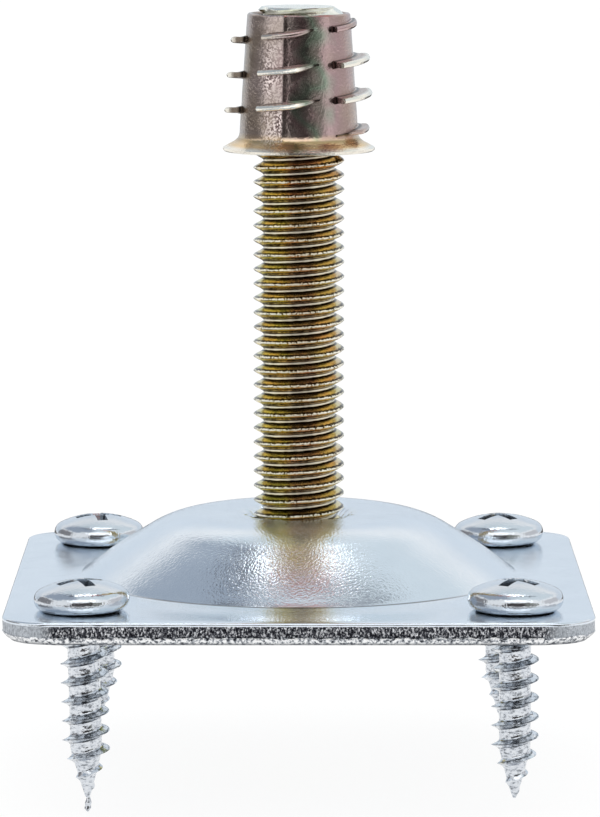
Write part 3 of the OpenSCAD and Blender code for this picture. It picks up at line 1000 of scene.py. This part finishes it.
# Wood screws

SCREW_NAMES = [
    "wood_screw_front_left",
    "wood_screw_front_right",
    "wood_screw_back_left",
    "wood_screw_back_right",
]
# Height of a crest on each screw's left side, and the way that its cross recess stands
SCREW_CREST_HEIGHTS = [-2.61, -3.03, -2.0, -2.4]
RECESS_TURNS = [24.0, 58.0, 12.0, 40.0]
SLIVER_SCREW = 0
# How far each screw leans in its hole, in degrees, with its point towards +X
SCREW_LEANS = [1.4, 0.0, 0.0, 1.0]
SCREW_PHASES = whole_pitch([0.0, 0.02, 0.05, 0.08, 0.12, 0.17, 0.22, 0.27, 0.38, 0.48])


def screw_thread(phase):
    """Height of the wood thread at a place in its pitch: a thin blade on a wide root."""
    away = min(phase, 1.0 - phase)
    return max(1.0 - away / 0.26, 0.0) ** 1.5


def pan_profile():
    """Points (radius, height) over the pan head from its bearing face: rounded rim, then crown."""
    meeting = math.asin(PAN_FLAT / (PAN_CROWN - PAN_EDGE))
    points = [(NECK_RADIUS, SHEET), (PAN_FLAT, SHEET)]
    rim_steps = 14
    for i in range(1, rim_steps + 1):
        angle = math.pi - (math.pi - meeting) * i / rim_steps
        radius = PAN_FLAT + PAN_EDGE * math.sin(angle)
        points.append((radius, SHEET + PAN_EDGE * (1.0 + math.cos(angle))))
    crown_steps = 12
    for i in range(1, crown_steps):
        angle = meeting * (1.0 - i / crown_steps)
        points.append((PAN_CROWN * math.sin(angle), PAN_TOP - PAN_CROWN * (1.0 - math.cos(angle))))
    return points


def add_sliver(mesh):
    """The bead of metal that thread rolling left on a screw's point."""
    rings = []
    rows = 12
    steps = 10
    for i in range(rows + 1):
        along = i / rows
        height = SCREW_TIP + 0.55 - (SLIVER_LENGTH + 0.44) * along
        swollen = 0.45 + 0.55 * smooth_step(along, 0.2, 0.7)
        radius = SLIVER_RADIUS * swollen * math.sqrt(1.02 - along**6)
        radius *= 1.0 + 0.25 * noise.noise(Vector((0.0, 0.0, height * 4.0)))
        centre = Vector((0.05 * math.sin(along * 5.0), 0.03 * math.sin(along * 4.0), height))
        rings.append([centre + polar(radius, angle, 0.0) for angle in turns(steps)])
    add_skin(mesh, rings)


def make_screw(number, metal):
    mesh = bmesh.new()
    steps = 56
    tip_start = SCREW_TIP + POINT_LENGTH

    def radius_at(height, phase, angle):
        if height >= SHEET:
            return NECK_RADIUS
        into_point = clamped((tip_start - height) / POINT_LENGTH)
        core = POINT_RADIUS + (CORE_RADIUS - POINT_RADIUS) * (1.0 - into_point) ** 0.85
        core += (NECK_RADIUS - CORE_RADIUS) * smooth_step(height, NECK_END - 0.5, NECK_END + 0.2)
        spot = polar(2.2, angle, height * 1.8) + Vector((0, 0, 9 * number))
        core += 0.035 * (1.0 - into_point) * noise.noise(spot)
        crest = POINT_RADIUS + (SCREW_RADIUS - POINT_RADIUS) * (1.0 - into_point) ** 0.9
        reach = max(crest - core, 0.0) * smooth_step(NECK_END - height, 0.0, 0.7)
        return core + reach * screw_thread(phase)

    crest_height = SCREW_CREST_HEIGHTS[number]
    add_helix_skin(mesh, SCREW_PITCH, SCREW_TIP, SHEET, crest_height, steps, SCREW_PHASES, radius_at)
    add_skin(mesh, revolve(pan_profile(), steps, start=180.0))
    if number == SLIVER_SCREW:
        add_sliver(mesh)
    close_mesh(mesh)
    screw = to_object(mesh, SCREW_NAMES[number], [metal])
    for arm in range(2):
        spin = Matrix.Rotation(math.radians(RECESS_TURNS[number] + 90.0 * arm), 3, "Z")
        # The cutter widens upwards, and one arm passes the other's ends so that no two faces coincide
        floor_height = PAN_TOP - RECESS_DEPTH - 0.01 * arm
        mouth_height = PAN_TOP + 0.4 + 0.01 * arm
        low = []
        high = []
        for x, y in SQUARE:
            floor = Vector((x * RECESS_FLOOR / 2, y * RECESS_WIDTH * 0.4, floor_height))
            mouth = Vector((x * RECESS_LENGTH * 0.62, y * RECESS_WIDTH * 0.53, mouth_height))
            low.append(spin @ floor)
            high.append(spin @ mouth)
        cutter = bmesh.new()
        add_skin(cutter, [low, high])
        close_mesh(cutter)
        cut(screw, [to_object(cutter, "recess", [metal])])
    sharpen(screw)
    seat = Matrix.Translation(Vector((0.0, 0.0, SHEET)) * MM)
    lean = seat @ Matrix.Rotation(math.radians(-SCREW_LEANS[number]), 4, "Y") @ seat.inverted()
    screw.matrix_world = Matrix.Translation(Vector((*SCREW_PLACES[number], 0.0)) * MM) @ lean
    carry(screw, "plate", "wood_screws")


# Studio


def make_camera():
    data = bpy.data.cameras.new("camera")
    data.sensor_width = SENSOR
    data.lens = SENSOR * FOCAL_PIXELS / IMAGE_HEIGHT
    data.clip_start = 0.01
    data.clip_end = 20.0
    camera = bpy.data.objects.new("camera", data)
    camera.location = Vector(CAMERA_PLACE) * MM
    camera.rotation_euler = (math.pi / 2 - CAMERA_PITCH, 0.0, 0.0)
    bpy.context.scene.collection.objects.link(camera)
    bpy.context.scene.camera = camera


def make_world():
    """A plain white surround, seen, mirrored and lighting matt surfaces alike."""
    world = bpy.data.worlds.new("studio")
    bpy.context.scene.world = world
    world.use_nodes = True
    back = world.node_tree.nodes["Background"]
    back.inputs["Color"].default_value = WHITE
    back.inputs["Strength"].default_value = 1.0


def panel(name, corners, colour, strength):
    """A flat studio panel through four corners, which only mirrors see."""
    mesh = bmesh.new()
    mesh.faces.new([mesh.verts.new(Vector(corner) * MM) for corner in corners])
    shader = Shader(name)
    shader.show(shader.add("ShaderNodeEmission", {"Color": colour, "Strength": strength}).outputs[0])
    board = to_object(mesh, name, [shader.material])
    board.visible_camera = False
    board.visible_diffuse = False
    board.visible_shadow = False


def make_floor():
    """A white floor that keeps a faint shadow of the object."""
    mesh = bmesh.new()
    corners = [Vector((x * FLOOR_REACH, y * FLOOR_REACH, FLOOR_HEIGHT)) for x, y in SQUARE]
    mesh.faces.new([mesh.verts.new(corner * MM) for corner in corners])
    shader = Shader("floor")
    shader.dress(Base_Color=(0.9, 0.9, 0.9, 1.0), Roughness=0.9)
    path = shader.add("ShaderNodeLightPath").outputs
    seen = shader.math("MAXIMUM", path["Is Camera Ray"], path["Is Glossy Ray"])
    glow = shader.add("ShaderNodeEmission", {"Color": WHITE, "Strength": FLOOR_GLOW})
    layers = {0: shader.product(seen, FLOOR_SHARE), 1: shader.surface.outputs[0], 2: glow.outputs[0]}
    shader.show(shader.add("ShaderNodeMixShader", layers).outputs[0])
    floor = to_object(mesh, "floor", [shader.material])


def upright(name, y, left, right, low, high, colour, strength=1.0):
    """A panel that stands across the view at a distance y."""
    panel(name, [(left, y, low), (right, y, low), (right, y, high), (left, y, high)], colour, strength)


def beside(name, x, near, far, low, high, colour, strength=1.0):
    """A panel that stands along the view at a distance x to one side."""
    panel(name, [(x, near, low), (x, far, low), (x, far, high), (x, near, high)], colour, strength)


def overhead(name, z, left, right, near, far, colour, strength=1.0):
    """A level panel at a height z."""
    panel(name, [(left, near, z), (right, near, z), (right, far, z), (left, far, z)], colour, strength)


def make_studio():
    make_world()
    make_floor()
    dark = srgb(70, 66, 66)
    middling = srgb(132, 134, 128)
    dim = srgb(142, 140, 142)
    shade = srgb(168, 178, 191)
    sky = srgb(226, 235, 240)
    haze = srgb(224, 233, 242)
    pale = srgb(212, 210, 212)
    rose = srgb(226, 158, 150)
    ash = srgb(98, 96, 98)
    slate = srgb(84, 87, 96)
    cloud = srgb(112, 116, 124)
    upright("front_flag", -700, -330, 320, -100, 330, dark)
    upright("front_right_flag", -700, 320, 900, -100, 330, middling)
    upright("front_softbox", -620, -420, 520, 420, 1000, WHITE, 1.6)
    upright("back_wall", 900, -1500, 1500, FLOOR_HEIGHT + 1, 520, haze)
    beside("left_wall", -700, -160, 560, -100, 420, dim)
    beside("right_wall", 720, -260, 420, -100, 360, pale)
    overhead("left_ceiling", 900, -1200, -160, -500, 900, shade)
    overhead("right_ceiling", 900, -160, 1200, -500, 900, sky)
    overhead("far_ceiling", 899, -330, -160, 560, 900, sky)
    overhead("top_softbox", 700, -115, 115, 170, 300, WHITE, 4.4)
    overhead("left_gobo", 695, -230, -125, 120, 320, slate)
    overhead("near_gobo", 695, -115, 330, 60, 160, cloud)
    overhead("front_table", FLOOR_HEIGHT + 0.5, -230, 230, -620, -100, dark)
    overhead("back_table", FLOOR_HEIGHT + 0.5, -190, 190, 120, 850, dark)
    # Narrow cards above the stud, which the dome mirrors as its streak
    card_low = STUD_END + 9
    card_high = STUD_END + 110
    upright("hanging_left", 2, -9, -1.5, card_low, card_high, rose)
    upright("hanging_middle", 2, -1.5, 4.5, card_low, card_high, ash)
    upright("hanging_right", 2, 4.5, 12, card_low, card_high, rose)


bpy.context.scene.view_settings.view_transform = "Standard"
make_camera()
make_base_plate(plate_zinc(), torn_edge(), burred_lip())
make_stud(yellow_zinc_stud())
make_insert(yellow_zinc_casting())
screw_metal = screw_zinc()
for screw_number in range(len(SCREW_PLACES)):
    make_screw(screw_number, screw_metal)
make_studio()
